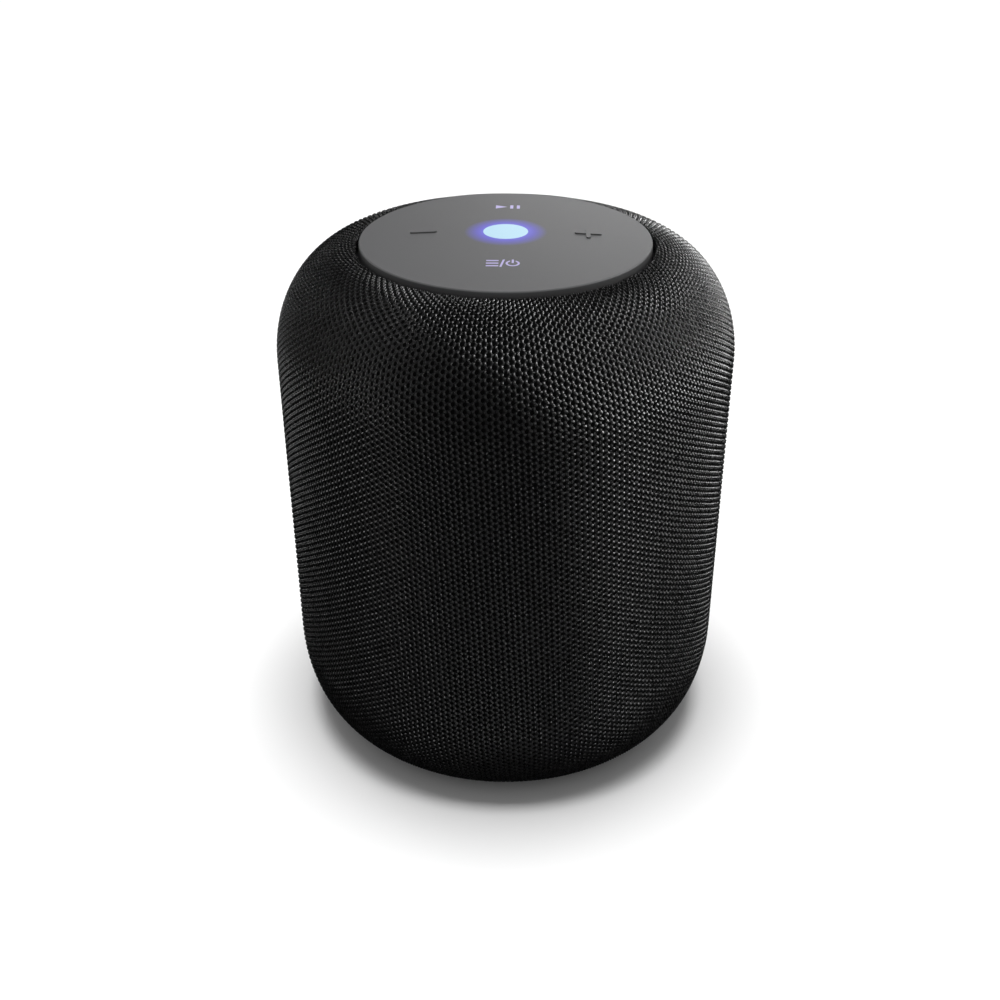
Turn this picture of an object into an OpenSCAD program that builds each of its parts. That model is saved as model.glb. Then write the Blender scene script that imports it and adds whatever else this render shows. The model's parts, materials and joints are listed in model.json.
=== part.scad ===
/* [Body] */
// Outer diameter of the fabric-covered body
body_d = 116; // [114:0.2:122]
// Height of the fabric at its upper lip
lip_z = 134.8; // [133.6:0.2:135.2]
// Width of the rounded shoulder, from the lip out to the wall
shoulder_w = 21.4; // [20:0.1:22]
// Height of the rounded shoulder
shoulder_h = 27.1; // [24:0.1:28]
// Width of the rounding at the foot of the wall
foot_round_w = 14; // [12:0.5:16]
// Height of the rounding at the foot of the wall
foot_round_h = 25.4; // [22:0.2:28]
// Thickness of the knitted sleeve
sleeve_t = 0.8; // [0.6:0.1:0.8]

/* [Key plate] */
// Diameter of the key plate
plate_d = 72; // [70:0.5:72]
// Height of the key plate's outer edge
plate_edge_z = 135.6; // [135:0.1:136.4]
// Rise of the domed plate from its edge to its middle
plate_rise = 1.7; // [1:0.1:2.2]
// Distance from the middle to each key's stem
key_r = 20.2; // [19:0.1:21]
// Length of the raised minus and plus bars
symbol_l = 6.6; // [5:0.2:8]
// Height of the raised minus and plus above the plate
symbol_h = 0.35; // [0.2:0.05:0.6]
// Diameter of the round status light
light_d = 11; // [9:0.5:12]

/* [Driver] */
// Outer radius of the moving cone
cone_r = 24; // [22:0.5:25]
// Width of the rubber roll around the cone
roll_w = 5; // [4:0.5:5]
// Outer radius of the passive radiator's moving plate
radiator_r = 24; // [22:0.5:25]

/* [Hidden] */
$fn = 96;
eps = 0.01;
past = 1;
air = 0.05;

// Body shells
body_r = body_d / 2;
lip_r = body_r - shoulder_w;
shoulder_z = lip_z - shoulder_h;
lift = 1.6;
foot_arc_r = body_r - foot_round_w;
foot_arc_z = lift + foot_round_h;
arc_steps = 14;
shell_wall = 2.15;
shell_t0 = sleeve_t + air;
shell_t1 = shell_t0 + shell_wall;
shell_in_r = body_r - shell_t1;
floor_top = lift + shell_t1;
split_z = 36;
slot_w = 2.6;
slot_h = 14;
slot_z = [42, 60, 84];
slots_round = 36;
ledge_r = 47.5;
ledge_z0 = 111.5;
ledge_z1 = 114.5;
rim_r = [47, 56];
rim_h = 3;
rim_inset = 1;

// Base plate and foot
base_plate_r = 39.6;
base_plate_z0 = 1;
base_plate_z1 = lift + sleeve_t + air;
sleeve_hem_gap = 0.2;
foot_in_r = 33.5;
foot_out_r = 38.5;
foot_top = 1.6;
base_screw_xy = [11, 28];
base_screw_r = 1.1;
base_head_r = 2.1;
base_head_h = 0.6;
base_sink = 0.7;
base_post_r = 3;
base_post_h = 5;

// Small screws: shank, and the rings that they stand on
thread_r = 0.9;
small_thread_r = 0.8;
frame_screw_r = 50.5;
lid_screw_r = 49.5;
tub_screw_r = 52.3;
basket_screw_r = 31.8;
deck_screw_r = 35;
board_screw_r = 27;
radiator_screw_r = 35.3;
quarter = 45;

// Battery
cell_r = 9.2;
cell_l = 65;
cell_gap = 0.4;
cell_fit = 0.3;
tray_floor = 1.2;
tray_wall = 1.6;
tray_h = 9;
cell_z = floor_top + tray_floor + cell_r;
strap_w = 8;
strap_t = 0.5;
strap_x = 20;
strap_drop = 2;
strap_end_t = 1.1;

// Rear port window, panel and sockets
window_w = 32;
window_h = 12;
window_z = 23.5;
window_r = 3;
window_gap = 0.2;
window_y = [30, 70];
panel_proud = 0.3;
panel_flange = [5, 4];
panel_flange_t = 1.6;
flange_room = [6.4, 5.4];
flange_room_y = [40, 53];
port_x = 8;
board_t = 1.6;
port_board_z = 20;
port_top = port_board_z + board_t;
port_board_w = 34;
port_board_y = [38, 49.5];
port_post = [13, 41];
port_post_r = 2.2;
port_post_hole = 5;
usb_w = 8.94;
usb_h = 3.2;
usb_l = 7.3;
usb_wall = 0.3;
usb_back = 0.8;
usb_z = port_top + usb_h / 2;
usb_end_y = 57;
usb_gap = 0.35;
tongue_w = 6.6;
tongue_t = 0.7;
aux_r = 1.8;
aux_depth = 12;
aux_end_y = 57.2;
aux_nose_r = 3;
aux_nose_y = 51;
aux_nose_gap = 0.1;
aux_body_w = 6.4;
aux_body_h = 5;
aux_body_y = [40.5, 51.4];
aux_z = port_top + aux_body_h / 2;

// Acoustic chamber
tub_r = 48;
tub_wall = 2.5;
tub_floor = 2.5;
tub_z0 = 38;
tub_z1 = 80.4;
tub_rim_r = 54;
tub_rim_top = 0.6;
flange_r = 51;
flange_t = 3;
seal_t = 0.6;
lid_z0 = tub_z1 + seal_t;
lid_t = 3;
lid_z1 = lid_z0 + lid_t;
wire_r = 0.9;
wire_run_r = 53;
notch_r = [51.6, 56];
notch_w = 4;
notch_angles = [20, 70];

// Driver
driver_seal_t = 0.5;
flange_z = lid_z1 + driver_seal_t;
basket_r = 34;
basket_t = 1.4;
basket_lip = 1.2;
basket_shelf = 4;
basket_wall = 0.7;
basket_windows = 6;
basket_window_w = 10;
basket_window_r = [19, 40];
seat_r = 20;
roll_r = cone_r + roll_w;
roll_t = 0.5;
roll_land = 0.15;
cone_z = 83;
cone_t = 0.5;
cone_neck_t = 0.8;
coil_r = 7;
coil_t = 0.4;
coil_gap = 0.1;
coil_bottom = 55;
winding_t = 0.3;
winding_z = [57, 62.3];
neck_z = 68;
gap_top = 61;
gap_bottom = 58;
air_gap = 0.7;
pole_r = 5.9;
yoke_z = 50;
yoke_t = 4;
magnet_r = 19;
magnet_in_r = 9;
magnet_edge = 0.5;
cap_r = 9;
cap_z = 66.6;
cap_t = 0.5;
cap_foot = 2.4;
spider_r = 17;
spider_z = gap_top + 1.5;
spider_t = 0.4;

// Passive radiator
mass_z = 37.2;
mass_t = 1;
weight_r = 9;
weight_t = 3;
radiator_roll_w = 8;
radiator_frame_r = 38;
radiator_top = tub_z0 + 0.2;
radiator_gap = 0.2;

// Sound reflector and main board
reflector_z0 = 100;
reflector_z1 = 102.5;
reflector_r = 51.5;
reflector_tip_r = 4;
reflector_base_r = 30;
reflector_cone_h = 10;
post_circle = 45;
post_r = 2.5;
deck_post_r = 2.2;
deck_board_z = 106;
deck_board_r = 40;
deck_top = deck_board_z + board_t;
lead_end_z = deck_top + 1.1 * wire_r;
processor = [12, 12, 1.2];
memory = [8, 10, 1];
amplifier = [6, 7, 1];
coil_can = [6, 6, 3];
capacitor_r = 3;
capacitor_h = 5.4;
flex_socket = [10, 3, 1.5];
radio_can = [18, 12, 2.4];
flex_y = 10.45;
flex_w = 8;
flex_t = 0.3;

// Carrier under the key plate and the ring that clamps the hem
frame_t = 2;
frame_top = ledge_z1 + frame_t;
frame_r = 53;
frame_hole_r = 20;
frame_post_r = 2.4;
well_r0 = 38;
well_r1 = 39.8;
clamp_z0 = 128.2;
clamp_z1 = 130.2;
clamp_r1 = 40;

// Control board
board_z = 120;
board_top = board_z + board_t;
board_r = 32;
led_size = [5, 5, 1.6];
key_led_size = [3.2, 1.6, 0.8];
key_led_y = 26;
mic_size = [3.6, 2.8, 1];
mic_x = 27;
switch_w = 6;
switch_h = 3.5;
switch_floor = 0.5;
switch_roof = 1;
stem_r = 1.6;
stem_flange_r = 2.2;
stem_flange_gap = 0.15;
stem_foot = 1;
stem_flange_z = [1.3, 1.9];
run_fit = 0.05;

// Tilting mount of the key plate
pivot_z = 126;
ring_in_r = 8;
ring_out_r = 11;
ring_h = 2.8;
lug_r0 = 11.4;
lug_r1 = 14.4;
lug_w = 5;
lug_over = 2;
lug_under = 1.6;
bracket_t = 1.4;
bracket_edge = 1;
pin_r = 0.8;
pin_end_r = 8.8;
pin_reach = 20;

// Key plate
plate_r = plate_d / 2;
plate_top = plate_edge_z + plate_rise;
dome_r = (plate_r * plate_r + plate_rise * plate_rise) / (2 * plate_rise);
dome_fn = 400;
plate_t = 2;
skirt_t = 1.6;
skirt_z = 130.4;
edge_round = 0.3;
edge_shoulder = 0.3;
boss_r = 1.5;
boss_z = 127;
symbol_w = 1.1;
bar_w = 0.6;
bar_l = 2.9;
bar_pitch = 1.5;
bars_x = -2.55;
slash_w = 0.5;
slash_lean = 0.35;
slash_x = -0.25;
slash_h = 4.2;
power_x = 2.2;
power_r = 1.65;
power_w = 0.5;
power_gap = 1.3;
power_stroke = 2;
play_x = -3.1;
play_w = 3;
pause_x = [1, 2.7];
pause_w = 0.8;
play_h = 3.2;
icon_y = 20.8;
icon_pad = [9.2, 5.2];
icon_pad_t = 2.6;
pad_overlap = 0.2;
light_r = light_d / 2;
light_flange = 1;
light_seat = 0.4;
light_under = 1.4;
collar_w = 2.4;
collar_drop = 1.6;
pipe_r = 5.2;
pipe_top = 132.9;
pipe_foot_r = [4.4, 6.4];
pipe_foot_h = 1.8;

// ---- helpers -------------------------------------------------------------

// Closed half outline of the body, offset inwards by t.
function outline(t) = concat(
    [[0, lift + t]],
    [for (i = [0 : arc_steps]) let (a = -90 + 90 * i / arc_steps)
        [foot_arc_r + (foot_round_w - t) * cos(a),
         foot_arc_z + (foot_round_h - t) * sin(a)]],
    [for (i = [0 : arc_steps]) let (a = 90 * i / arc_steps)
        [lip_r + (shoulder_w - t) * cos(a),
         shoulder_z + (shoulder_h - t) * sin(a)]],
    [[0, lip_z - t]]);

function polar(r, a, z) = [r * cos(a), r * sin(a), z];

module body_solid(t) {
    rotate_extrude() polygon(outline(t));
}

module body_skin(t0, t1) {
    difference() {
        body_solid(t0);
        body_solid(t1);
    }
}

module disc(r, z0, z1) {
    translate([0, 0, z0]) cylinder(r = r, h = z1 - z0);
}

module tube(r0, r1, z0, z1) {
    difference() {
        disc(r1, z0, z1);
        disc(r0, z0 - past, z1 + past);
    }
}

module box(x0, x1, y0, y1, z0, z1) {
    translate([x0, y0, z0]) cube([x1 - x0, y1 - y0, z1 - z0]);
}

// A block of the given size standing on height z, its middle at x and y.
module chip(x, y, z, size) {
    translate([x - size[0] / 2, y - size[1] / 2, z]) cube(size);
}

// Bar with round ends, lying flat along X.
module bar_2d(length, width) {
    square([length - width, width], center = true);
    for (s = [-1, 1]) translate([s * (length - width) / 2, 0]) circle(d = width);
}

// Places its children at n points on a circle.
module around(n, r, start = 0) {
    for (i = [0 : n - 1])
        rotate([0, 0, start + 360 * i / n]) translate([r, 0, 0]) children();
}

// Places its children at the four screws of the base plate.
module at_base_screws() {
    for (x = [-1, 1], y = [-1, 1])
        translate([x * base_screw_xy[0], y * base_screw_xy[1], 0]) children();
}

// Places its children at the two posts under the port board.
module at_port_posts() {
    for (x = [-1, 1]) translate([x * port_post[0], port_post[1], 0]) children();
}

// Rod along Y at the key plate's pivot height.
module cross_rod(r) {
    translate([0, pin_reach, pivot_z]) rotate([90, 0, 0]) cylinder(r = r, h = 2 * pin_reach);
}

// A screw with its head on top at z, its shank pointing down.
module screw(z, shank_r, length, head_r, head_h) {
    difference() {
        union() {
            translate([0, 0, z]) cylinder(r = head_r, h = head_h);
            translate([0, 0, z - length]) cylinder(r = shank_r, h = length + eps);
        }
        translate([0, 0, z + head_h / 2]) cylinder(r = head_r / 2, h = head_h, $fn = 6);
    }
}

// Rod from point a to point b, with a slightly fuller ball at each end.
module rod(a, b, r) {
    d = b - a;
    length = norm(d);
    translate(a)
        rotate([0, acos(d[2] / length), atan2(d[1], d[0])])
            cylinder(r = r, h = length, $fn = 24);
    for (end = [a, b]) translate(end) sphere(r = 1.06 * r, $fn = 24);
}

module wire(points, r) {
    for (i = [0 : len(points) - 2]) rod(points[i], points[i + 1], r);
}

// Rounded upright rectangle at the rear, drawn out along +Y from y[0] to y[1].
module rear_prism(w, h, r, y) {
    translate([0, y[1], window_z]) rotate([90, 0, 0]) linear_extrude(height = y[1] - y[0]) {
        square([w - 2 * r, h], center = true);
        square([w, h - 2 * r], center = true);
        for (sx = [-1, 1], sz = [-1, 1])
            translate([sx * (w / 2 - r), sz * (h / 2 - r)]) circle(r = r);
    }
}

module window_cut() {
    g = window_gap;
    rear_prism(window_w + 2 * g, window_h + 2 * g, window_r + g, window_y);
}

// ---- outer shells --------------------------------------------------------

// Knitted sleeve with its upper hem turned down around the key plate.
module fabric_sleeve() {
    color("black") difference() {
        union() {
            difference() {
                body_skin(0, sleeve_t);
                disc(lip_r + sleeve_t, shoulder_z, lip_z + past);
                disc(base_plate_r + sleeve_hem_gap, 0, foot_arc_z);
            }
            tube(lip_r, lip_r + sleeve_t, clamp_z1 + air, lip_z - air);
        }
        window_cut();
    }
}

// Upper cage: a shell with upright sound slots that backs the sleeve.
module grille_shell() {
    color("dimgray") difference() {
        union() {
            difference() {
                body_skin(shell_t0, shell_t1);
                disc(body_r, 0, split_z);
                disc(lip_r + sleeve_t + air, shoulder_z, lip_z);
            }
            tube(ledge_r, shell_in_r + 0.4, ledge_z0, ledge_z1);
        }
        for (z = slot_z) around(slots_round, 0)
            box(shell_in_r - 2, body_r + past, -slot_w / 2, slot_w / 2, z, z + slot_h);
        around(4, frame_screw_r, quarter) disc(thread_r, ledge_z0 - past, ledge_z1 + past);
    }
}

// Lower bowl with the floor, the screw posts and the port window.
module base_shell() {
    color("dimgray") difference() {
        union() {
            difference() {
                body_skin(shell_t0, shell_t1);
                disc(body_r, split_z, lip_z);
            }
            intersection() {
                tube(rim_r[0], rim_r[1], split_z - rim_h, split_z);
                body_solid(shell_t0 + rim_inset);
            }
            at_base_screws() disc(base_post_r, floor_top - 0.5, floor_top + base_post_h);
            at_port_posts() disc(port_post_r, floor_top - 0.5, port_board_z);
        }
        window_cut();
        at_base_screws() disc(base_screw_r, 0, floor_top + base_post_h + past);
        at_port_posts() disc(small_thread_r, port_board_z - port_post_hole, port_board_z + past);
        wire_notches(split_z - rim_h - past, split_z + past);
        around(4, tub_screw_r, quarter) disc(thread_r, split_z - rim_h - past, split_z + past);
        rear_prism(window_w + flange_room[0], window_h + flange_room[1], window_r, flange_room_y);
    }
}

module base_plate() {
    color("black") difference() {
        disc(base_plate_r, base_plate_z0, base_plate_z1);
        tube(foot_in_r, foot_out_r, 0, foot_top);
        at_base_screws() {
            disc(base_screw_r, 0, base_plate_z1 + past);
            disc(base_head_r + 0.1, 0, base_plate_z0 + base_sink);
        }
    }
}

module foot_ring() {
    color("darkslategray") tube(foot_in_r + air, foot_out_r - air, 0, foot_top);
}

module sleeve_clamp_ring() {
    color("black") tube(lip_r, clamp_r1, clamp_z0, clamp_z1);
}

// ---- rear ports ----------------------------------------------------------

// Curved plate that fills the window and is held by a wider flange behind it.
module port_panel() {
    flange_w = window_w + panel_flange[0];
    flange_h = window_h + panel_flange[1];
    color("black") difference() {
        union() {
            intersection() {
                rear_prism(window_w, window_h, window_r, window_y);
                body_skin(-panel_proud, shell_t1 + air);
            }
            intersection() {
                rear_prism(flange_w, flange_h, window_r, window_y);
                body_skin(shell_t1 + air, shell_t1 + panel_flange_t);
            }
        }
        translate([-port_x, 0, usb_z]) usb_outline(usb_gap, flange_room_y[0], window_y[1]);
        translate([port_x, 0, aux_z]) rotate([-90, 0, 0])
            cylinder(r = aux_nose_r + aux_nose_gap, h = window_y[1]);
    }
}

// Flat-oval prism of the USB-C mouth, grown by g.
module usb_outline(g, y0, y1) {
    translate([0, y1, 0]) rotate([90, 0, 0]) linear_extrude(height = y1 - y0)
        bar_2d(usb_w + 2 * g, usb_h + 2 * g);
}

module usb_socket_shell() {
    y0 = usb_end_y - usb_l;
    color("silver") translate([-port_x, 0, usb_z]) difference() {
        usb_outline(0, y0, usb_end_y);
        usb_outline(-usb_wall, y0 + usb_back, usb_end_y + past);
    }
}

module usb_socket_tongue() {
    y0 = usb_end_y - usb_l + usb_back;
    color("black") translate([-port_x, 0, usb_z])
        box(-tongue_w / 2, tongue_w / 2, y0, usb_end_y - past, -tongue_t / 2, tongue_t / 2);
}

module aux_jack() {
    x0 = port_x - aux_body_w / 2;
    x1 = port_x + aux_body_w / 2;
    color("black") difference() {
        union() {
            box(x0, x1, aux_body_y[0], aux_body_y[1], port_top, port_top + aux_body_h);
            translate([port_x, aux_nose_y, aux_z]) rotate([-90, 0, 0])
                cylinder(r = aux_nose_r, h = aux_end_y - aux_nose_y);
        }
        translate([port_x, aux_end_y - aux_depth, aux_z]) rotate([-90, 0, 0])
            cylinder(r = aux_r, h = aux_depth + past);
        box(x0 - past, x1 + past, aux_body_y[1] - past, window_y[1], port_board_z, port_top);
    }
}

module port_board() {
    half_w = port_board_w / 2;
    color("darkgreen") difference() {
        box(-half_w, half_w, port_board_y[0], port_board_y[1], port_board_z, port_top);
        at_port_posts() disc(small_thread_r, port_board_z - past, port_top + past);
    }
}

// ---- battery -------------------------------------------------------------

module battery_tray() {
    half_x = cell_l / 2 + cell_fit + tray_wall;
    half_y = 2 * cell_r + cell_gap / 2 + cell_fit + tray_wall;
    top = floor_top + tray_h;
    color("gray") difference() {
        box(-half_x, half_x, -half_y, half_y, floor_top, top);
        box(tray_wall - half_x, half_x - tray_wall, tray_wall - half_y, half_y - tray_wall,
            floor_top + tray_floor, top + past);
        for (x = [-strap_x, strap_x])
            box(x - strap_w / 2, x + strap_w / 2, -half_y - past, half_y + past,
                top - strap_drop, top + past);
    }
}

// Two cells under one wrap, with a shallow seat for each strap.
module battery_pack() {
    top = cell_z + cell_r;
    half_y = cell_r + cell_gap / 2;
    color("steelblue") difference() {
        union() {
            for (s = [-1, 1]) translate([-cell_l / 2, s * half_y, cell_z])
                rotate([0, 90, 0]) cylinder(r = cell_r, h = cell_l);
            box(-cell_l / 2, cell_l / 2, -cell_r, cell_r, cell_z - cell_r, top);
        }
        for (x = [-strap_x, strap_x])
            box(x - strap_w / 2, x + strap_w / 2, -3 * cell_r, 3 * cell_r, top - strap_t, top + past);
    }
}

// Two bands over the cells, each ending in the tray's side notches.
module battery_straps() {
    half_y = 2 * cell_r + cell_gap / 2 + 2 * air;
    top = cell_z + cell_r;
    color("black") for (x = [-strap_x, strap_x]) difference() {
        box(x - strap_w / 2, x + strap_w / 2, -half_y - strap_end_t, half_y + strap_end_t,
            floor_top + tray_h - strap_drop, top + cell_fit);
        box(x - strap_w, x + strap_w, -half_y, half_y, 0, top - strap_t);
    }
}

// ---- acoustic chamber ----------------------------------------------------

module wire_notches(z0, z1) {
    for (a = notch_angles) rotate([0, 0, a])
        box(notch_r[0], notch_r[1], -notch_w / 2, notch_w / 2, z0, z1);
}

module chamber_tub() {
    color("dimgray") difference() {
        union() {
            disc(tub_r, tub_z0, tub_z1);
            disc(tub_rim_r, split_z, tub_z0 + tub_rim_top);
            disc(flange_r, tub_z1 - flange_t, tub_z1);
        }
        disc(tub_r - tub_wall, tub_z0 + tub_floor, tub_z1 + past);
        disc(radiator_frame_r + 2 * air, split_z - past, radiator_top);
        disc(radiator_r + radiator_roll_w + 0.5, split_z - past, tub_z0 + 2 * tub_floor);
        wire_notches(split_z - past, tub_z0 + past);
        around(4, lid_screw_r) disc(thread_r, tub_z1 - flange_t - past, tub_z1 + past);
        around(4, tub_screw_r, quarter) disc(thread_r, split_z - past, tub_z0 + past);
    }
}

module chamber_seal() {
    color("black") difference() {
        tube(tub_r - tub_wall, flange_r, tub_z1, lid_z0);
        around(4, lid_screw_r) disc(thread_r, tub_z1 - past, lid_z0 + past);
    }
}

module chamber_lid() {
    color("dimgray") difference() {
        disc(flange_r, lid_z0, lid_z1);
        disc(roll_r + 1, lid_z0 - past, lid_z1 + past);
        around(4, lid_screw_r) disc(thread_r, lid_z0 - past, lid_z1 + past);
        around(4, basket_screw_r, quarter) disc(thread_r, lid_z0 - past, lid_z1 + past);
        translate([speaker_route[4][0], 0, 0]) disc(wire_r + air, lid_z0 - past, lid_z1 + past);
    }
}

// ---- driver --------------------------------------------------------------

module driver_seal() {
    color("black") difference() {
        tube(roll_r + 1, basket_r, lid_z1, flange_z);
        around(4, basket_screw_r, quarter) disc(thread_r, lid_z1 - past, flange_z + past);
    }
}

// Flange, sloping frame with windows and the seat for the magnet.
module driver_basket() {
    rim = roll_r + roll_land + air;
    wall_in = roll_r - 0.8;
    wall_out = rim + basket_wall;
    bend_z = flange_z - basket_shelf;
    seat_in = magnet_r - 5;
    color("darkgray") difference() {
        union() {
            tube(rim, basket_r, flange_z, flange_z + basket_t);
            rotate_extrude() polygon([[rim, flange_z + basket_t], [wall_out, flange_z + basket_t],
                [wall_out, bend_z], [seat_r + 1.5, gap_top], [seat_in, gap_top],
                [seat_in, gap_top + basket_t], [seat_r, gap_top + basket_t], [wall_in, bend_z],
                [wall_in, flange_z - basket_lip], [rim, flange_z - basket_lip]]);
        }
        around(basket_windows, 0, 30)
            box(basket_window_r[0], basket_window_r[1], -basket_window_w / 2, basket_window_w / 2,
                gap_top + 3, flange_z - 6);
        around(4, basket_screw_r, quarter) disc(thread_r, flange_z - past, flange_z + basket_t + past);
    }
}

module driver_magnet() {
    color("dimgray") tube(magnet_in_r, magnet_r, yoke_z, gap_bottom);
}

module driver_yoke() {
    color("silver") union() {
        disc(magnet_r - magnet_edge, yoke_z - yoke_t, yoke_z);
        disc(pole_r, yoke_z - eps, gap_top);
    }
}

module driver_washer() {
    color("silver") tube(coil_r + air_gap, magnet_r - magnet_edge, gap_bottom, gap_top);
}

module driver_cone() {
    neck_r = coil_r + coil_gap;
    color("black") rotate_extrude() polygon([[neck_r, neck_z], [cone_r - 1, cone_z],
        [cone_r, cone_z], [cone_r, cone_z + cone_t], [cone_r - 1.3, cone_z + cone_t],
        [neck_r, neck_z + cone_neck_t]]);
}

module voice_coil() {
    color("peru") union() {
        tube(coil_r - coil_t, coil_r, coil_bottom, neck_z + cone_neck_t);
        tube(coil_r - eps, coil_r + winding_t, winding_z[0], winding_z[1]);
    }
}

// Part of a hollow ball, cut away where the cone passes through it.
module dust_cap() {
    color("black") difference() {
        translate([0, 0, cap_z]) sphere(r = cap_r);
        translate([0, 0, cap_z]) sphere(r = cap_r - cap_t);
        disc(cap_r + past, cap_z - cap_r - past, neck_z + cap_foot);
        rotate_extrude() polygon([[coil_r + coil_gap, neck_z + cone_neck_t + air],
            [cone_r - 1.3, cone_z + cone_t + air], [cone_r, cone_z - 20]]);
    }
}

// Half-round rubber roll between radii r0 and r1, arching up from height z.
module roll(r0, r1, z) {
    wide = (r1 - r0) / 2;
    rotate_extrude() translate([(r0 + r1) / 2, z]) intersection() {
        difference() {
            circle(r = wide);
            circle(r = wide - roll_t);
        }
        translate([-wide - past, 0]) square([2 * (wide + past), wide + past]);
    }
}

module driver_surround() {
    color("black") roll(cone_r + air, roll_r + roll_land, cone_z + cone_t);
}

module driver_spider() {
    color("goldenrod") tube(coil_r + air, spider_r, spider_z, spider_z + spider_t);
}

// ---- passive radiator ----------------------------------------------------

module radiator_frame() {
    color("darkgray") difference() {
        tube(radiator_r + radiator_roll_w, radiator_frame_r, split_z + radiator_gap, radiator_top);
        around(4, radiator_screw_r, quarter) disc(small_thread_r, split_z - past, tub_z0 + past);
    }
}

module radiator_plate() {
    color("silver") disc(radiator_r, mass_z, mass_z + mass_t);
}

module radiator_weight() {
    color("dimgray") disc(weight_r, mass_z + mass_t, mass_z + mass_t + weight_t);
}

module radiator_surround() {
    color("black") roll(radiator_r + air, radiator_r + radiator_roll_w - air, mass_z + mass_t / 2);
}

// ---- sound reflector and electronics -------------------------------------

// Disc on four posts, with a cone below it that turns the sound outwards.
module sound_reflector() {
    color("dimgray") difference() {
        union() {
            disc(reflector_r, reflector_z0, reflector_z1);
            translate([0, 0, reflector_z0 - reflector_cone_h])
                cylinder(r1 = reflector_tip_r, r2 = reflector_base_r, h = reflector_cone_h + eps);
            around(4, post_circle, quarter) disc(post_r, lid_z1, reflector_z0 + eps);
            around(4, deck_screw_r) disc(deck_post_r, reflector_z1 - eps, deck_board_z);
        }
        around(4, deck_screw_r) disc(small_thread_r, reflector_z1 + 0.5, deck_board_z + past);
    }
}

module main_board() {
    color("darkgreen") difference() {
        disc(deck_board_r, deck_board_z, deck_top);
        around(4, deck_screw_r) disc(small_thread_r, deck_board_z - past, deck_top + past);
    }
}

// Processor, memory, amplifier, coils, capacitors and the flat-cable sockets.
module board_components() {
    color("black") {
        chip(-2, -8, deck_top, processor);
        chip(12, -9, deck_top, memory);
        chip(-19, -8.5, deck_top, amplifier);
        for (x = [-10, 10]) chip(x, 23, deck_top, coil_can);
        for (x = [-26, -18, 18, 26]) translate([x, 14, 0])
            disc(capacitor_r, deck_top, deck_top + capacitor_h);
        for (z = [deck_top, board_z - flex_socket[2]]) chip(0, flex_y, z, flex_socket);
    }
}

module radio_module() {
    color("silver") chip(0, -26, deck_top, radio_can);
}

// Carrier under the key plate: a disc on the shell's ledge and a round well.
module top_frame() {
    color("dimgray") difference() {
        union() {
            disc(frame_r, ledge_z1, frame_top);
            tube(well_r0, well_r1, frame_top - eps, clamp_z0);
            around(4, board_screw_r, quarter) disc(frame_post_r, frame_top - eps, board_z);
        }
        disc(frame_hole_r, ledge_z1 - past, frame_top + past);
        around(4, board_screw_r, quarter) disc(small_thread_r, ledge_z1 - past, board_z + past);
        around(4, frame_screw_r, quarter) disc(thread_r, ledge_z1 - past, frame_top + past);
    }
}

module control_board() {
    color("darkgreen") difference() {
        disc(board_r, board_z, board_top);
        around(4, board_screw_r, quarter) disc(small_thread_r, board_z - past, board_top + past);
    }
}

// One large light source in the middle and one under each backlit symbol.
module status_leds() {
    color("white") {
        chip(0, 0, board_top, led_size);
        for (s = [-1, 1]) chip(0, s * key_led_y, board_top, key_led_size);
    }
}

module microphones() {
    color("gold") for (s = [-1, 1]) chip(s * mic_x, 0, board_top, mic_size);
}

// ---- keys ----------------------------------------------------------------

module switch_housings() {
    half_w = switch_w / 2;
    top = board_top + switch_h;
    color("black") around(4, key_r) difference() {
        box(-half_w, half_w, -half_w, half_w, board_top, top);
        disc(stem_r + run_fit, board_top + stem_foot, top + past);
        disc(stem_flange_r + stem_flange_gap, board_top + switch_floor, top - switch_roof);
    }
}

// Sprung stem under one key, with a retaining collar.
module stem(angle) {
    color("white") rotate([0, 0, angle]) translate([key_r, 0, 0]) union() {
        disc(stem_r, board_top + stem_foot, boss_z - air);
        disc(stem_flange_r, board_top + stem_flange_z[0], board_top + stem_flange_z[1]);
    }
}

module stem_plus() {
    stem(0);
}

module stem_play() {
    stem(90);
}

module stem_minus() {
    stem(180);
}

module stem_mode() {
    stem(270);
}

// Ring foot on the board with two upright lugs that hold the gimbal.
module pivot_bracket() {
    color("silver") difference() {
        union() {
            tube(lug_r0, lug_r1 + bracket_edge, board_top, board_top + bracket_t);
            around(2, 0)
                box(lug_r0, lug_r1, -lug_w / 2, lug_w / 2, board_top, pivot_z + lug_over);
        }
        rotate([0, 0, 90]) cross_rod(pin_r);
    }
}

module gimbal_ring() {
    color("silver") difference() {
        tube(ring_in_r, ring_out_r, pivot_z - ring_h / 2, pivot_z + ring_h / 2);
        for (a = [0, 90]) rotate([0, 0, a]) cross_rod(pin_r + run_fit);
    }
}

module pin_pair() {
    around(2, pin_end_r) translate([0, 0, pivot_z])
        rotate([0, 90, 0]) cylinder(r = pin_r, h = lug_r1 - pin_end_r);
}

module gimbal_pins() {
    color("silver") pin_pair();
}

module plate_pins() {
    color("silver") rotate([0, 0, 90]) pin_pair();
}

module light_pipe() {
    foot_top_z = board_top + pipe_foot_h;
    color("white") union() {
        disc(pipe_r, foot_top_z, pipe_top);
        tube(pipe_foot_r[0], pipe_foot_r[1], board_top, foot_top_z + eps);
    }
}

// ---- key plate -----------------------------------------------------------

// Ball whose top is the plate's domed face, lowered by t.
module dome_ball(t) {
    translate([0, 0, plate_top - dome_r]) sphere(r = dome_r - t, $fn = dome_fn);
}

// Part of the dome, lowered by t, inside radius r and above z0.
module dome(r, t, z0) {
    intersection() {
        disc(r, z0, plate_top + past);
        dome_ball(t);
    }
}

module minus_2d() {
    bar_2d(symbol_l, symbol_w);
}

module plus_2d() {
    for (a = [0, 90]) rotate(a) bar_2d(symbol_l, symbol_w);
}

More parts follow.
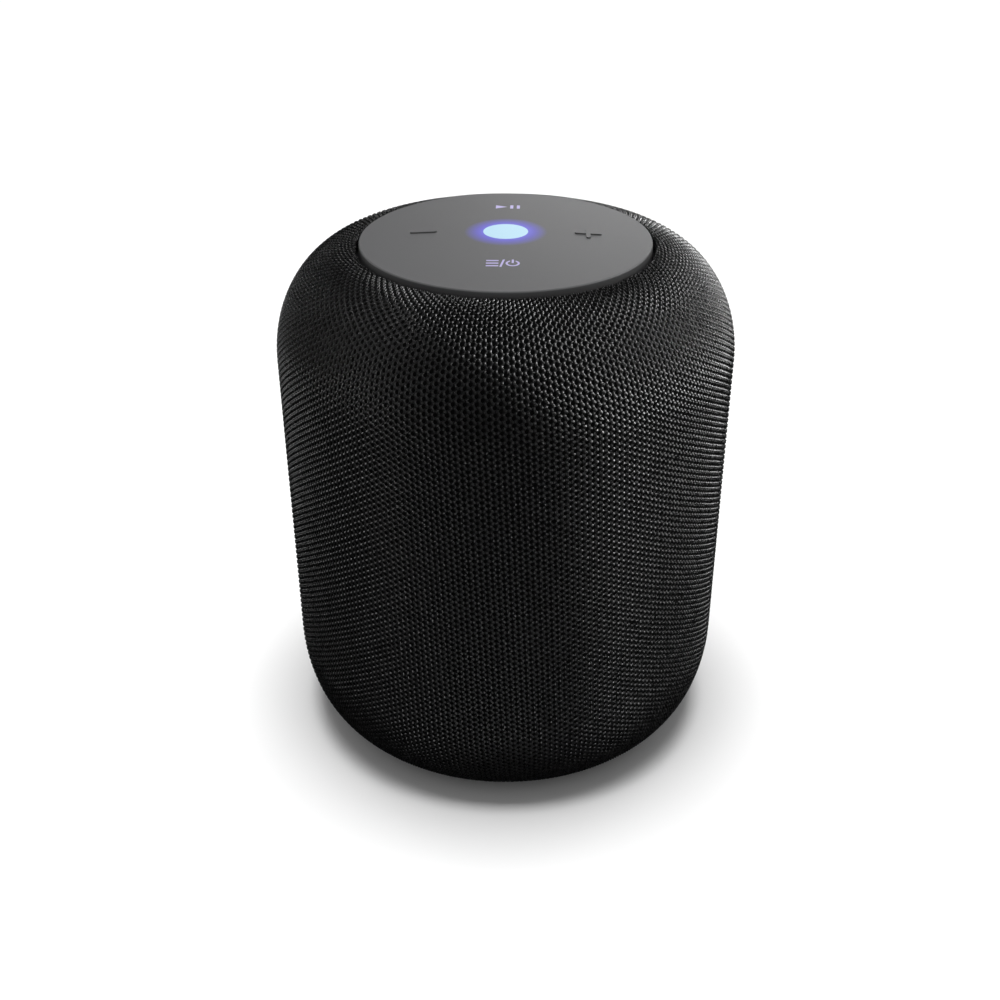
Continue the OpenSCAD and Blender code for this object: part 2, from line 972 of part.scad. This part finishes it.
// Power mark: an open ring with an upright stroke.
module power_2d() {
    difference() {
        circle(r = power_r);
        circle(r = power_r - power_w);
        translate([-power_gap / 2, 0]) square([power_gap, 2 * power_r]);
    }
    translate([0, power_r - power_w]) square([power_w, power_stroke], center = true);
}

// Three level bars for the mode key, a slash and the power mark.
module mode_power_2d() {
    half_h = slash_h / 2;
    for (i = [-1 : 1]) translate([bars_x, i * bar_pitch]) square([bar_l, bar_w], center = true);
    translate([slash_x, 0]) polygon([[-slash_lean - slash_w / 2, -half_h],
        [-slash_lean + slash_w / 2, -half_h], [slash_lean + slash_w / 2, half_h],
        [slash_lean - slash_w / 2, half_h]]);
    translate([power_x, 0]) power_2d();
}

// Play triangle followed by two pause bars.
module play_pause_2d() {
    polygon([[play_x, -play_h / 2], [play_x + play_w, 0], [play_x, play_h / 2]]);
    for (x = pause_x) translate([x, 0]) square([pause_w, play_h], center = true);
}

// Clear symbol that stands through the plate, on a pad against its underside.
module icon_insert(y) {
    under = plate_top - plate_t;
    union() {
        intersection() {
            translate([0, y, under - icon_pad_t]) linear_extrude(height = 2 * icon_pad_t + plate_t)
                children();
            dome(plate_r, 0, under - icon_pad_t);
        }
        intersection() {
            translate([-icon_pad[0] / 2, y - icon_pad[1] / 2, under - icon_pad_t])
                cube([icon_pad[0], icon_pad[1], icon_pad_t + pad_overlap]);
            dome_ball(plate_t - eps);
        }
    }
}

module mode_power_icon() {
    color("lavender") icon_insert(-icon_y) mode_power_2d();
}

module play_pause_icon() {
    color("lavender") icon_insert(icon_y) play_pause_2d();
}

// Takes the sharp corner off the plate's upper edge in two small bevels.
module edge_cutter() {
    small = edge_shoulder * edge_round;
    rotate_extrude() polygon([[plate_r + eps, plate_edge_z + past],
        [plate_r + eps, plate_edge_z - edge_round], [plate_r - small, plate_edge_z - small],
        [plate_r - edge_round, plate_edge_z + air], [plate_r - edge_round, plate_edge_z + past]]);
}

// Raised minus and plus, following the dome.
module raised_symbols() {
    intersection() {
        union() {
            translate([key_r, 0, plate_top - 3]) linear_extrude(height = 5) plus_2d();
            translate([-key_r, 0, plate_top - 3]) linear_extrude(height = 5) minus_2d();
        }
        dome(plate_r, -symbol_h, plate_top - plate_t);
    }
}

// What hangs under the plate: key bosses, pivot lugs and the light's collar.
module under_plate() {
    intersection() {
        union() {
            around(4, key_r) disc(boss_r, boss_z, plate_top);
            around(2, 0, 90)
                box(lug_r0, lug_r1, -lug_w / 2, lug_w / 2, pivot_z - lug_under, plate_top);
            tube(light_r, light_r + collar_w, plate_top - plate_t - collar_drop, plate_top);
        }
        dome(plate_r, plate_t / 4, pivot_z - lug_under);
    }
}

// Domed plate with its skirt, raised minus and plus, key bosses and pivot lugs.
module top_plate() {
    color("gray") difference() {
        union() {
            difference() {
                dome(plate_r, 0, skirt_z);
                dome(plate_r - skirt_t, plate_t, skirt_z - past);
                edge_cutter();
            }
            raised_symbols();
            under_plate();
        }
        disc(light_r, boss_z, plate_top + past);
        disc(light_r + light_flange, boss_z, plate_top - plate_t - light_seat);
        cross_rod(pin_r);
        icon_insert(-icon_y) mode_power_2d();
        icon_insert(icon_y) play_pause_2d();
    }
}

module light_lens() {
    under = plate_top - plate_t;
    color("lightcyan") intersection() {
        union() {
            disc(light_r, under - light_under, plate_top + past);
            disc(light_r + light_flange, under - light_under, under - light_seat);
        }
        dome(plate_r, 0, boss_z);
    }
}

// ---- leads ---------------------------------------------------------------

battery_route = [[cell_l / 2 + 3.5, 2, 19], polar(50, 16, 26),
    polar(wire_run_r, notch_angles[0], 34), polar(wire_run_r, notch_angles[0], 104.5),
    polar(46, 12, 109), polar(38, 8, 109), polar(37, 8, lead_end_z)];
speaker_route = [[-37, 4, lead_end_z], [-46, 2, 109], [-wire_run_r, 0, 105],
    [-wire_run_r, 0, 92], [-42, 0, 88], [-42, 0, 78], [-29.3, 0, 75.5]];

module flex_cable() {
    color("orange") chip(0, flex_y, deck_top + flex_socket[2],
        [flex_w, flex_t, board_z - deck_top - 2 * flex_socket[2]]);
}

module battery_lead() {
    color("red") wire(battery_route, wire_r);
}

module speaker_lead() {
    color("red") wire(speaker_route, wire_r);
}

// ---- screws --------------------------------------------------------------

module body_screws() {
    color("silver") {
        at_base_screws() mirror([0, 0, 1])
            screw(-base_plate_z0 - base_sink, base_screw_r, 6, base_head_r, base_head_h);
        around(4, frame_screw_r, quarter) screw(frame_top, thread_r, 4.5, 1.8, 1);
        around(4, lid_screw_r) screw(lid_z1, thread_r, 6, 1.4, 1);
        around(4, tub_screw_r, quarter) screw(tub_z0 + tub_rim_top, thread_r, 5, 1.6, 1);
    }
}

module driver_screws() {
    color("silver") around(4, basket_screw_r, quarter)
        screw(flange_z + basket_t, thread_r, 4.5, 1.7, 0.9);
}

module board_screws() {
    color("silver") {
        around(4, board_screw_r, quarter) screw(board_top, small_thread_r, 4.5, 1.6, 0.9);
        around(4, deck_screw_r) screw(deck_top, small_thread_r, 4, 1.6, 0.9);
        at_port_posts() screw(port_top, small_thread_r, 5, 1.6, 0.9);
    }
}

fabric_sleeve();
grille_shell();
base_shell();
base_plate();
foot_ring();
sleeve_clamp_ring();
port_panel();
usb_socket_shell();
usb_socket_tongue();
aux_jack();
port_board();
battery_tray();
battery_pack();
battery_straps();
chamber_tub();
chamber_seal();
chamber_lid();
driver_seal();
driver_basket();
driver_magnet();
driver_yoke();
driver_washer();
driver_cone();
voice_coil();
dust_cap();
driver_surround();
driver_spider();
radiator_frame();
radiator_plate();
radiator_weight();
radiator_surround();
sound_reflector();
main_board();
board_components();
radio_module();
top_frame();
control_board();
status_leds();
microphones();
switch_housings();
stem_minus();
stem_plus();
stem_mode();
stem_play();
pivot_bracket();
gimbal_ring();
gimbal_pins();
plate_pins();
light_pipe();
top_plate();
light_lens();
mode_power_icon();
play_pause_icon();
flex_cable();
battery_lead();
speaker_lead();
body_screws();
driver_screws();
board_screws();
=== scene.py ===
import json
import math

import bpy
import numpy as np
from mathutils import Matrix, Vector


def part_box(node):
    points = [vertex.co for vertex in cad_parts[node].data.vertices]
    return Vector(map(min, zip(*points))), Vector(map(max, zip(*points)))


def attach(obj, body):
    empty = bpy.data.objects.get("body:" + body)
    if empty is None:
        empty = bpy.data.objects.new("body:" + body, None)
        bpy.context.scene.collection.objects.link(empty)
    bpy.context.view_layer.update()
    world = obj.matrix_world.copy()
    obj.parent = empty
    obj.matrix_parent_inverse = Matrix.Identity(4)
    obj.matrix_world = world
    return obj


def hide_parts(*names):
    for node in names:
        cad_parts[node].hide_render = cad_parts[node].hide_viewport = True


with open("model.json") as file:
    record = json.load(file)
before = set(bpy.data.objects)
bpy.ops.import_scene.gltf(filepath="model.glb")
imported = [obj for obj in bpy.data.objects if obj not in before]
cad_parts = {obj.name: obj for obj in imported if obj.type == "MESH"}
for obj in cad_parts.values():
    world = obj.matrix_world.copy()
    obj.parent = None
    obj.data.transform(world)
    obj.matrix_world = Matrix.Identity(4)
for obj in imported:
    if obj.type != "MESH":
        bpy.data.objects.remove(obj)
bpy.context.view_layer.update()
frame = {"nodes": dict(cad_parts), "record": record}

MM = 0.001
NODES = frame["nodes"]

# ---- sizes, in metres, from the frame and from the design ------------------

sleeve_low, sleeve_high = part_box("fabric_sleeve")
base_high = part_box("base_plate")[1]

BODY_R = sleeve_high[0]
LIP_Z = sleeve_high[2]
FOOT_Z = sleeve_low[2]
BASE_R = base_high[0]
LENS_R = 5.5 * MM
SHOULDER_W = 21.4 * MM
SHOULDER_H = 27.1 * MM
FOOT_W = 14.0 * MM
FOOT_H = 25.4 * MM
LIP_ROUND = 0.8 * MM
HEM_DEPTH = 3.2 * MM
BASE_GAP = 0.3 * MM
SHARPEST_TURN = 0.05 * MM
ARC_STEPS = 60
LIP_STEPS = 8
LIP_POINTS_KEPT = 12

# The cloth behind the knit, and how far the knit lies inside the outline.
SKIN_DEPTH = 0.45 * MM
CLOTH_T = 0.3 * MM
LINER_STEP = 1.2 * MM
LINER_TURNS = 288

# The knit: hole columns round the body, rows along it, and the strands between.
COLUMNS = 268
ROW_PITCH = 1.565 * MM
LIP_STRETCH = 0.13
LIP_REACH = 18 * MM
ROW_CLIMB = 13
LEAN = math.radians(2.6)
STRAND_W = 1.05 * MM
STRAND_SWING = 0.27 * MM
STRAND_LOW = 0.14 * MM
STRAND_RISE = 0.42 * MM
LIP_THINNING = 1.9
PINCH_POWER = 2.2
NET_STEP = 0.2 * MM
NET_PANELS = 6
BENDS = (-0.18, -0.07, 0.07, 0.18, 0.32, 0.43, 0.57, 0.68)
SECTION = ((-0.5, 0.0), (-0.27, 0.76), (0.0, 1.0), (0.27, 0.76), (0.5, 0.0))

# The window for the port panel, in the rear of the sleeve.
WINDOW_W = 32 * MM
WINDOW_H = 12 * MM
WINDOW_Z = 23.5 * MM
WINDOW_CORNER = 3 * MM
LINER_TUCK = 0.2 * MM
NET_TUCK = 0.3 * MM

# The photo's camera, fitted to the outline and to the key plate's edge.
SENSOR_W = 36
CAMERA_LENS = 46.9
CAMERA_PITCH = math.radians(30.45)
CAMERA_AZIMUTH = math.radians(1.6)
CAMERA_DISTANCE = 357.7 * MM
CAMERA_AIM_Z = 60.95 * MM
CAMERA_SHIFT = -0.0057

# The studio. Each gloss panel: name, place, height it aims at, size, watts.
FLOOR_SIZE = 6.0
WORLD_STRENGTH = 0.35
GLINTS = (
    ("right_glint", (0.87, 0.10, 0.48), 0.08, (0.25, 0.40), 16.5),
    ("top_glint", (0.12, 0.28, 0.95), 0.08, (0.25, 0.25), 1.1),
    ("left_glint", (-0.90, 0.30, 0.20), 0.08, (0.30, 0.30), 2.0),
    ("back_glint", (0.32, 1.10, 0.50), 0.12, (0.8, 0.3), 5.0),
    ("front_glint", (0.15, -1.20, 0.32), 0.05, (0.30, 0.30), 4.2),
)


# ---- the body's outline -----------------------------------------------------

def outline(inset):
    """Radius and height along the body, from the lower hem to the upper one."""
    arc = np.linspace(-90, 0, ARC_STEPS)
    a = np.radians(arc)
    r = [BODY_R - FOOT_W + (FOOT_W - inset) * np.cos(a)]
    z = [FOOT_Z + FOOT_H + (FOOT_H - inset) * np.sin(a)]
    a = np.radians(arc + 90)[:-1]
    lip_r = BODY_R - SHOULDER_W
    r.append(lip_r + (SHOULDER_W - inset) * np.cos(a))
    z.append(LIP_Z - SHOULDER_H + (SHOULDER_H - inset) * np.sin(a))
    turn = LIP_ROUND - inset if inset < LIP_ROUND else SHARPEST_TURN
    a = np.radians(np.linspace(90, 180, LIP_STEPS))
    r.append(lip_r + LIP_ROUND + turn * np.cos(a))
    z.append(LIP_Z - LIP_ROUND + turn * np.sin(a))
    r.append([lip_r + LIP_ROUND - turn])
    z.append([LIP_Z - HEM_DEPTH])
    r, z = np.concatenate(r), np.concatenate(z)
    start = BASE_R + BASE_GAP
    keep = r > start
    keep[-LIP_POINTS_KEPT:] = True
    r, z = r[keep], z[keep]
    return np.concatenate([[start], r]), np.concatenate([z[:1], z])


def even_outline(inset, step):
    """The outline at even steps along it, with its outward direction."""
    r, z = outline(inset)
    along = np.concatenate([[0], np.cumsum(np.hypot(np.diff(r), np.diff(z)))])
    s = np.arange(0, along[-1], step)
    r, z = np.interp(s, along, r), np.interp(s, along, z)
    dr, dz = np.gradient(r), np.gradient(z)
    size = np.hypot(dr, dz)
    return s, r, z, dz / size, -dr / size


def in_window(x, y, z, grow):
    """Whether points lie in the port window's rounded rectangle, grown by grow."""
    dx = np.abs(x) - (WINDOW_W / 2 + grow - WINDOW_CORNER)
    dz = np.abs(z - WINDOW_Z) - (WINDOW_H / 2 + grow - WINDOW_CORNER)
    outside = np.hypot(np.maximum(dx, 0), np.maximum(dz, 0))
    return (y > 0) & (np.minimum(np.maximum(dx, dz), 0) + outside < WINDOW_CORNER)


# ---- mesh helpers -----------------------------------------------------------

def mesh_object(name, points, faces, smooth=True):
    """A new object from an array of points and one of faces, all with as many corners."""
    points = np.ascontiguousarray(points, dtype=np.float32)
    faces = np.ascontiguousarray(faces, dtype=np.int32)
    starts = np.arange(0, faces.size, faces.shape[1], dtype=np.int32)
    mesh = bpy.data.meshes.new(name)
    mesh.vertices.add(len(points))
    mesh.vertices.foreach_set("co", points.ravel())
    mesh.loops.add(faces.size)
    mesh.loops.foreach_set("vertex_index", faces.ravel())
    mesh.polygons.add(len(faces))
    mesh.polygons.foreach_set("loop_start", starts)
    mesh.update(calc_edges=True)
    if smooth:
        mesh.polygons.foreach_set("use_smooth", np.ones(len(faces), dtype=bool))
    obj = bpy.data.objects.new(name, mesh)
    bpy.context.scene.collection.objects.link(obj)
    return obj


def grid_faces(rows, columns, closed):
    """Quads over rows by columns of points; closed joins the last column to the first."""
    across = columns if closed else columns - 1
    i, j = np.meshgrid(np.arange(rows - 1), np.arange(across), indexing="ij")
    k = (j + 1) % columns
    low, high = i * columns, (i + 1) * columns
    return np.stack([low + j, low + k, high + k, high + j], axis=-1).reshape(-1, 4)


def drop_unused(points, faces):
    """The faces with only the points that they use."""
    used = np.unique(faces)
    index = np.full(len(points), -1)
    index[used] = np.arange(len(used))
    return points[used], index[faces]


# ---- the knitted sleeve -----------------------------------------------------

def make_liner():
    """The black cloth behind the net, and its length from hem to hem."""
    s, r, z, _, _ = even_outline(SKIN_DEPTH, LINER_STEP)
    angle = 2 * math.pi * np.arange(LINER_TURNS) / LINER_TURNS
    x = r[:, None] * np.cos(angle)
    y = r[:, None] * np.sin(angle)
    z = np.broadcast_to(z[:, None], x.shape)
    points = np.stack([x, y, z], axis=-1).reshape(-1, 3)
    faces = grid_faces(len(s), LINER_TURNS, True)
    middle = points[faces].mean(axis=1)
    faces = faces[~in_window(*middle.T, -LINER_TUCK)]
    points, faces = drop_unused(points, faces)
    liner = mesh_object("knit_liner", points, faces)
    solid = liner.modifiers.new("cloth", "SOLIDIFY")
    solid.thickness = CLOTH_T
    solid.offset = -1
    return liner, s[-1]


def row_count(s):
    """Rows of holes counted along the body; they are taller towards the lip."""
    shoulder = s[-1] - HEM_DEPTH - 0.5 * math.pi * (SHOULDER_W + SHOULDER_H) / 2
    over = np.clip((s - shoulder) / LIP_REACH, 0, 1)
    pitch = ROW_PITCH * (1 + LIP_STRETCH * over * over * (3 - 2 * over))
    return np.concatenate([[0], np.cumsum(np.diff(s) / pitch[1:])])


def strand_points(index, along, rows):
    """One strand between two hole columns, as sections at its bends."""
    s, r, z, nr, nz = along
    lean = math.tan(LEAN) * (s - s[-1] / 2) / BODY_R
    angle = 2 * math.pi * (index + 0.5) / COLUMNS - lean
    phase = rows - ROW_CLIMB * angle / (2 * math.pi) + 0.5 * (index % 2)
    whole = np.arange(math.ceil(phase[0]), math.floor(phase[-1]))
    bends = (whole[:, None] + np.array(BENDS)).ravel()
    bends = bends[bends > phase[0]]
    r, z, nr, nz, angle = (np.interp(bends, phase, value)
                           for value in (r, z, nr, nz, angle))
    narrow = r / BODY_R
    turn = 2 * math.pi * bends
    swing = STRAND_SWING * narrow * np.clip(1.5 * np.cos(turn), -1, 1)
    crown = STRAND_LOW + STRAND_RISE * (0.5 + 0.5 * np.cos(2 * turn)) ** PINCH_POWER
    out = np.stack([nr * np.cos(angle), nr * np.sin(angle), nz], axis=-1)
    side = np.stack([-np.sin(angle), np.cos(angle), 0 * angle], axis=-1)
    spine = np.stack([r * np.cos(angle), r * np.sin(angle), z], axis=-1)
    width = STRAND_W * narrow ** LIP_THINNING
    section = [spine + side * (swing + width * across)[:, None]
               + out * (crown * up)[:, None] for across, up in SECTION]
    return np.stack(section, axis=1)


def make_net():
    """The open net of zigzag strands, in panels round the body."""
    along = even_outline(SKIN_DEPTH, NET_STEP)
    rows = row_count(along[0])
    panels = []
    strands = np.array_split(np.arange(COLUMNS), NET_PANELS)
    for panel, members in enumerate(strands):
        points, faces, count = [], [], 0
        for index in members:
            block = strand_points(index, along, rows)
            faces.append(grid_faces(len(block), len(SECTION), False) + count)
            points.append(block.reshape(-1, 3))
            count += len(points[-1])
        points, faces = np.concatenate(points), np.concatenate(faces)
        middle = points[faces].mean(axis=1)
        faces = faces[~in_window(*middle.T, -NET_TUCK)]
        points, faces = drop_unused(points, faces)
        panels.append(mesh_object(f"knit_net_{panel + 1}", points, faces[:, ::-1]))
    return panels


# ---- materials --------------------------------------------------------------

def new_material(name, color, roughness, metallic=0.0, specular=0.5):
    """A material with these constants on its Principled shader."""
    material = bpy.data.materials.new(name)
    material.use_nodes = True
    shader = principled(material)
    shader.inputs["Base Color"].default_value = (*color, 1)
    shader.inputs["Roughness"].default_value = roughness
    shader.inputs["Metallic"].default_value = metallic
    shader.inputs["Specular IOR Level"].default_value = specular
    return material


def node(material, kind, **values):
    """A new shader node; each value goes to its socket of that name, or else its property."""
    made = material.node_tree.nodes.new(kind)
    for key, value in values.items():
        if key in made.inputs:
            made.inputs[key].default_value = value
        else:
            setattr(made, key, value)
    return made


def link(material, out_node, out_name, in_node, in_name):
    material.node_tree.links.new(out_node.outputs[out_name], in_node.inputs[in_name])


def principled(material):
    return material.node_tree.nodes["Principled BSDF"]


def place(material, stretch=(1, 1, 1)):
    """Object coordinates in metres, stretched along the axes."""
    coords = node(material, "ShaderNodeTexCoord")
    mapping = node(material, "ShaderNodeMapping")
    mapping.inputs["Scale"].default_value = stretch
    link(material, coords, "Object", mapping, "Vector")
    return mapping


def grain(material, size, depth, stretch=(1, 1, 1), strength=1.0):
    """Fine bump of the given grain size and depth."""
    noise = node(material, "ShaderNodeTexNoise", Scale=1 / size, Detail=3.0, Roughness=0.6)
    link(material, place(material, stretch), "Vector", noise, "Vector")
    bump = node(material, "ShaderNodeBump", Strength=strength, Distance=depth)
    link(material, noise, "Fac", bump, "Height")
    link(material, bump, "Normal", principled(material), "Normal")


def mottle(material, color, size, amount):
    """Base colour that varies gently by amount over patches of the given size."""
    noise = node(material, "ShaderNodeTexNoise", Scale=1 / size, Detail=2.0)
    link(material, place(material), "Vector", noise, "Vector")
    ramp = node(material, "ShaderNodeValToRGB")
    stops = ((0.3, 1 - amount), (0.7, 1 + amount))
    for element, (position, share) in zip(ramp.color_ramp.elements, stops):
        element.position = position
        element.color = (*[c * share for c in color], 1)
    link(material, noise, "Fac", ramp, "Fac")
    link(material, ramp, "Color", principled(material), "Base Color")


def knit_material():
    """Black yarn whose filaments glint unevenly."""
    color = (0.0045, 0.0045, 0.0047)
    material = new_material("knit_yarn", color, 0.3)
    grain(material, 0.14 * MM, 0.04 * MM, strength=0.7)
    glint = node(material, "ShaderNodeTexNoise", Scale=1 / (0.9 * MM), Detail=1.0)
    link(material, place(material), "Vector", glint, "Vector")
    span = node(material, "ShaderNodeMapRange")
    span.inputs["From Min"].default_value = 0.35
    span.inputs["From Max"].default_value = 0.65
    span.inputs["To Min"].default_value = 0.21
    span.inputs["To Max"].default_value = 0.43
    link(material, glint, "Fac", span, "Value")
    link(material, span, "Result", principled(material), "Roughness")
    return material


def liner_material():
    """Dull black cloth."""
    color = (0.0012, 0.0012, 0.0012)
    material = new_material("knit_backing", color, 0.95, specular=0.05)
    grain(material, 0.5 * MM, 0.05 * MM)
    return material


def moulded(name, color, roughness, size=0.25 * MM, depth=0.006 * MM, amount=0.06):
    """A dull, faintly mottled surface with a fine grain."""
    material = new_material(name, color, roughness)
    mottle(material, color, 14 * MM, amount)
    grain(material, size, depth)
    return material


def key_plate_material():
    """Fine matte grey plastic, with the window's light spreading round it."""
    grey = (0.083, 0.083, 0.085)
    material = new_material("key_plate_grey", grey, 0.6, specular=0.25)
    grain(material, 0.18 * MM, 0.006 * MM)
    coords = node(material, "ShaderNodeTexCoord")
    flat = node(material, "ShaderNodeVectorMath", operation="MULTIPLY")
    flat.inputs[1].default_value = (1, 1, 0)
    link(material, coords, "Object", flat, 0)
    far = node(material, "ShaderNodeVectorMath", operation="LENGTH")
    link(material, flat, "Vector", far, 0)
    span = node(material, "ShaderNodeMapRange", interpolation_type="LINEAR")
    span.inputs["From Min"].default_value = LENS_R
    span.inputs["From Max"].default_value = LENS_R * 1.85
    link(material, far, "Value", span, "Value")
    ramp = node(material, "ShaderNodeValToRGB")
    ramp.color_ramp.elements[0].color = (0.05, 0.04, 0.55, 1)
    ramp.color_ramp.elements[1].color = (0, 0, 0, 1)
    ramp.color_ramp.elements.new(0.34).color = (0.02, 0.01, 0.38, 1)
    ramp.color_ramp.elements.new(0.66).color = (0.012, 0.008, 0.18, 1)
    link(material, span, "Result", ramp, "Fac")
    shader = principled(material)
    link(material, ramp, "Color", shader, "Emission Color")
    shader.inputs["Emission Strength"].default_value = 1.0
    return material


def lit(name, color, strength):
    """Frosted plastic with light behind it."""
    material = new_material(name, [0.08 * c for c in color], 0.5, specular=0.2)
    grain(material, 0.3 * MM, 0.01 * MM)
    shader = principled(material)
    shader.inputs["Emission Color"].default_value = (*color, 1)
    shader.inputs["Emission Strength"].default_value = strength
    return material


def metal(name, color, roughness, stretch=(1, 1, 12)):
    """Metal with a grain drawn out by stretch."""
    material = new_material(name, color, roughness, metallic=1.0)
    grain(material, 0.4 * MM, 0.004 * MM, stretch)
    return material


def board(name):
    """Green solder mask over faint copper runs."""
    material = new_material(name, (0.01, 0.09, 0.035), 0.35)
    brick = node(material, "ShaderNodeTexBrick", Scale=260.0)
    brick.inputs["Color1"].default_value = (0.008, 0.075, 0.028, 1)
    brick.inputs["Color2"].default_value = (0.010, 0.095, 0.036, 1)
    brick.inputs["Mortar"].default_value = (0.03, 0.16, 0.06, 1)
    link(material, place(material), "Vector", brick, "Vector")
    link(material, brick, "Color", principled(material), "Base Color")
    return material


def woven(name, color):
    material = new_material(name, color, 0.9)
    mottle(material, color, 1.5 * MM, 0.25)
    return material


def rubber(name, color):
    material = new_material(name, color, 0.75, specular=0.3)
    mottle(material, color, 6 * MM, 0.15)
    grain(material, 0.35 * MM, 0.02 * MM)
    return material


# For every material slot in the record: what makes its material, and with what.
SLOT_MATERIALS = {
    "key_grey": (key_plate_material,),
    "lens_lit": (lit, "window_light", (0.50, 0.75, 0.90), 0.84),
    "icon_lit": (lit, "icon_light", (0.50, 0.45, 0.75), 0.8),
    "knit_black": (knit_material,),
    "shell_black": (moulded, "shell_black", (0.016, 0.016, 0.017), 0.5),
    "foot_rubber": (rubber, "foot_rubber", (0.02, 0.02, 0.02)),
    "bright_steel": (metal, "bright_steel", (0.55, 0.55, 0.56), 0.32),
    "part_black": (moulded, "part_black", (0.02, 0.02, 0.022), 0.4),
    "board_green": (board, "board_green"),
    "frame_grey": (moulded, "frame_grey", (0.07, 0.07, 0.075), 0.55),
    "battery_wrap": (moulded, "battery_wrap", (0.03, 0.14, 0.40), 0.3,
                     2 * MM, 0.05 * MM),
    "seal_rubber": (rubber, "seal_rubber", (0.025, 0.025, 0.025)),
    "basket_paint": (moulded, "basket_paint", (0.05, 0.05, 0.052), 0.45,
                     0.4 * MM, 0.02 * MM),
    "ferrite": (moulded, "ferrite", (0.045, 0.045, 0.05), 0.7,
                0.5 * MM, 0.05 * MM, 0.2),
    "cone_black": (moulded, "cone_black", (0.02, 0.02, 0.021), 0.6,
                   0.6 * MM, 0.05 * MM, 0.2),
    "copper": (metal, "copper_wire", (0.65, 0.28, 0.13), 0.3, (1, 1, 40)),
    "spider_cloth": (woven, "spider_cloth", (0.55, 0.33, 0.10)),
    "plate_aluminium": (metal, "plate_aluminium", (0.7, 0.7, 0.71), 0.35, (12, 1, 1)),
    "led_white": (moulded, "led_white", (0.80, 0.81, 0.83), 0.4),
    "gold_can": (metal, "gold_can", (0.80, 0.60, 0.25), 0.25),
    "stem_white": (moulded, "stem_white", (0.75, 0.75, 0.75), 0.35),
    "flex_amber": (moulded, "flex_amber", (0.50, 0.20, 0.03), 0.3),
    "lead_red": (rubber, "lead_red", (0.35, 0.02, 0.02)),
}


def dress_nodes():
    """Gives every CAD node the material of its slot, and returns them by slot."""
    made = {name: build(*values) for name, (build, *values) in SLOT_MATERIALS.items()}
    for sub in frame["record"]["subparts"]:
        obj = NODES[sub["node"]]
        material = made[sub["material_slot"]]
        if not obj.material_slots:
            obj.data.materials.append(material)
        for material_slot in obj.material_slots:
            material_slot.material = material
    return made


# ---- floor, light and camera ------------------------------------------------

def make_floor():
    """A plain white floor that the gloss doesn't mirror."""
    half = FLOOR_SIZE / 2
    points = np.array([(-half, -half, 0), (half, -half, 0), (half, half, 0), (-half, half, 0)])
    floor = mesh_object("studio_floor", points, np.array([[0, 1, 2, 3]]), smooth=False)
    material = new_material("studio_white", (0.88, 0.88, 0.88), 0.9, specular=0.0)
    floor.data.materials.append(material)
    floor.visible_glossy = False


def area_light(name, place_at, aim, size, power, matte=True, gloss=True):
    """A soft panel that lights matte surfaces, gloss, or both."""
    light = bpy.data.lights.new(name, "AREA")
    light.shape = "RECTANGLE"
    light.size, light.size_y = size
    light.energy = power
    obj = bpy.data.objects.new(name, light)
    bpy.context.scene.collection.objects.link(obj)
    obj.visible_diffuse = matte
    obj.visible_glossy = gloss
    obj.location = place_at
    toward = Vector(aim) - Vector(place_at)
    obj.rotation_euler = toward.to_track_quat("-Z", "Y").to_euler()


def make_light():
    """A pale world and a soft ceiling for the matte surfaces, small panels for gloss."""
    world = bpy.data.worlds.new("studio")
    world.use_nodes = True
    background = world.node_tree.nodes["Background"]
    background.inputs["Color"].default_value = (1, 1, 1, 1)
    background.inputs["Strength"].default_value = WORLD_STRENGTH
    bpy.context.scene.world = world
    world.cycles_visibility.glossy = False
    area_light("ceiling", (0, 0.05, 3.5), (0, 0.05, 0), (1.6, 1.6), 134, gloss=False)
    for name, place_at, aim_z, size, power in GLINTS:
        area_light(name, place_at, (0, 0, aim_z), size, power, matte=False)
    bpy.context.scene.view_settings.view_transform = "Standard"


def make_camera():
    """The photo's view of the body."""
    camera = bpy.data.cameras.new("camera")
    camera.sensor_width = SENSOR_W
    camera.lens = CAMERA_LENS
    camera.shift_x = CAMERA_SHIFT
    camera.clip_start = 0.01
    obj = bpy.data.objects.new("camera", camera)
    bpy.context.scene.collection.objects.link(obj)
    flat = CAMERA_DISTANCE * math.cos(CAMERA_PITCH)
    rise = CAMERA_DISTANCE * math.sin(CAMERA_PITCH)
    obj.location = (flat * math.sin(CAMERA_AZIMUTH), -flat * math.cos(CAMERA_AZIMUTH),
                    CAMERA_AIM_Z + rise)
    aim = Vector((0, 0, CAMERA_AIM_Z)) - obj.location
    obj.rotation_euler = aim.to_track_quat("-Z", "Y").to_euler()
    bpy.context.scene.camera = obj


# ---- assembly ---------------------------------------------------------------

make_camera()
make_floor()
make_light()
materials = dress_nodes()

liner, hem_to_hem = make_liner()
liner.data.materials.append(liner_material())
net = make_net()
for panel in net:
    panel.data.materials.append(materials["knit_black"])
for piece in [liner, *net]:
    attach(piece, "hub")
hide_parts("fabric_sleeve")
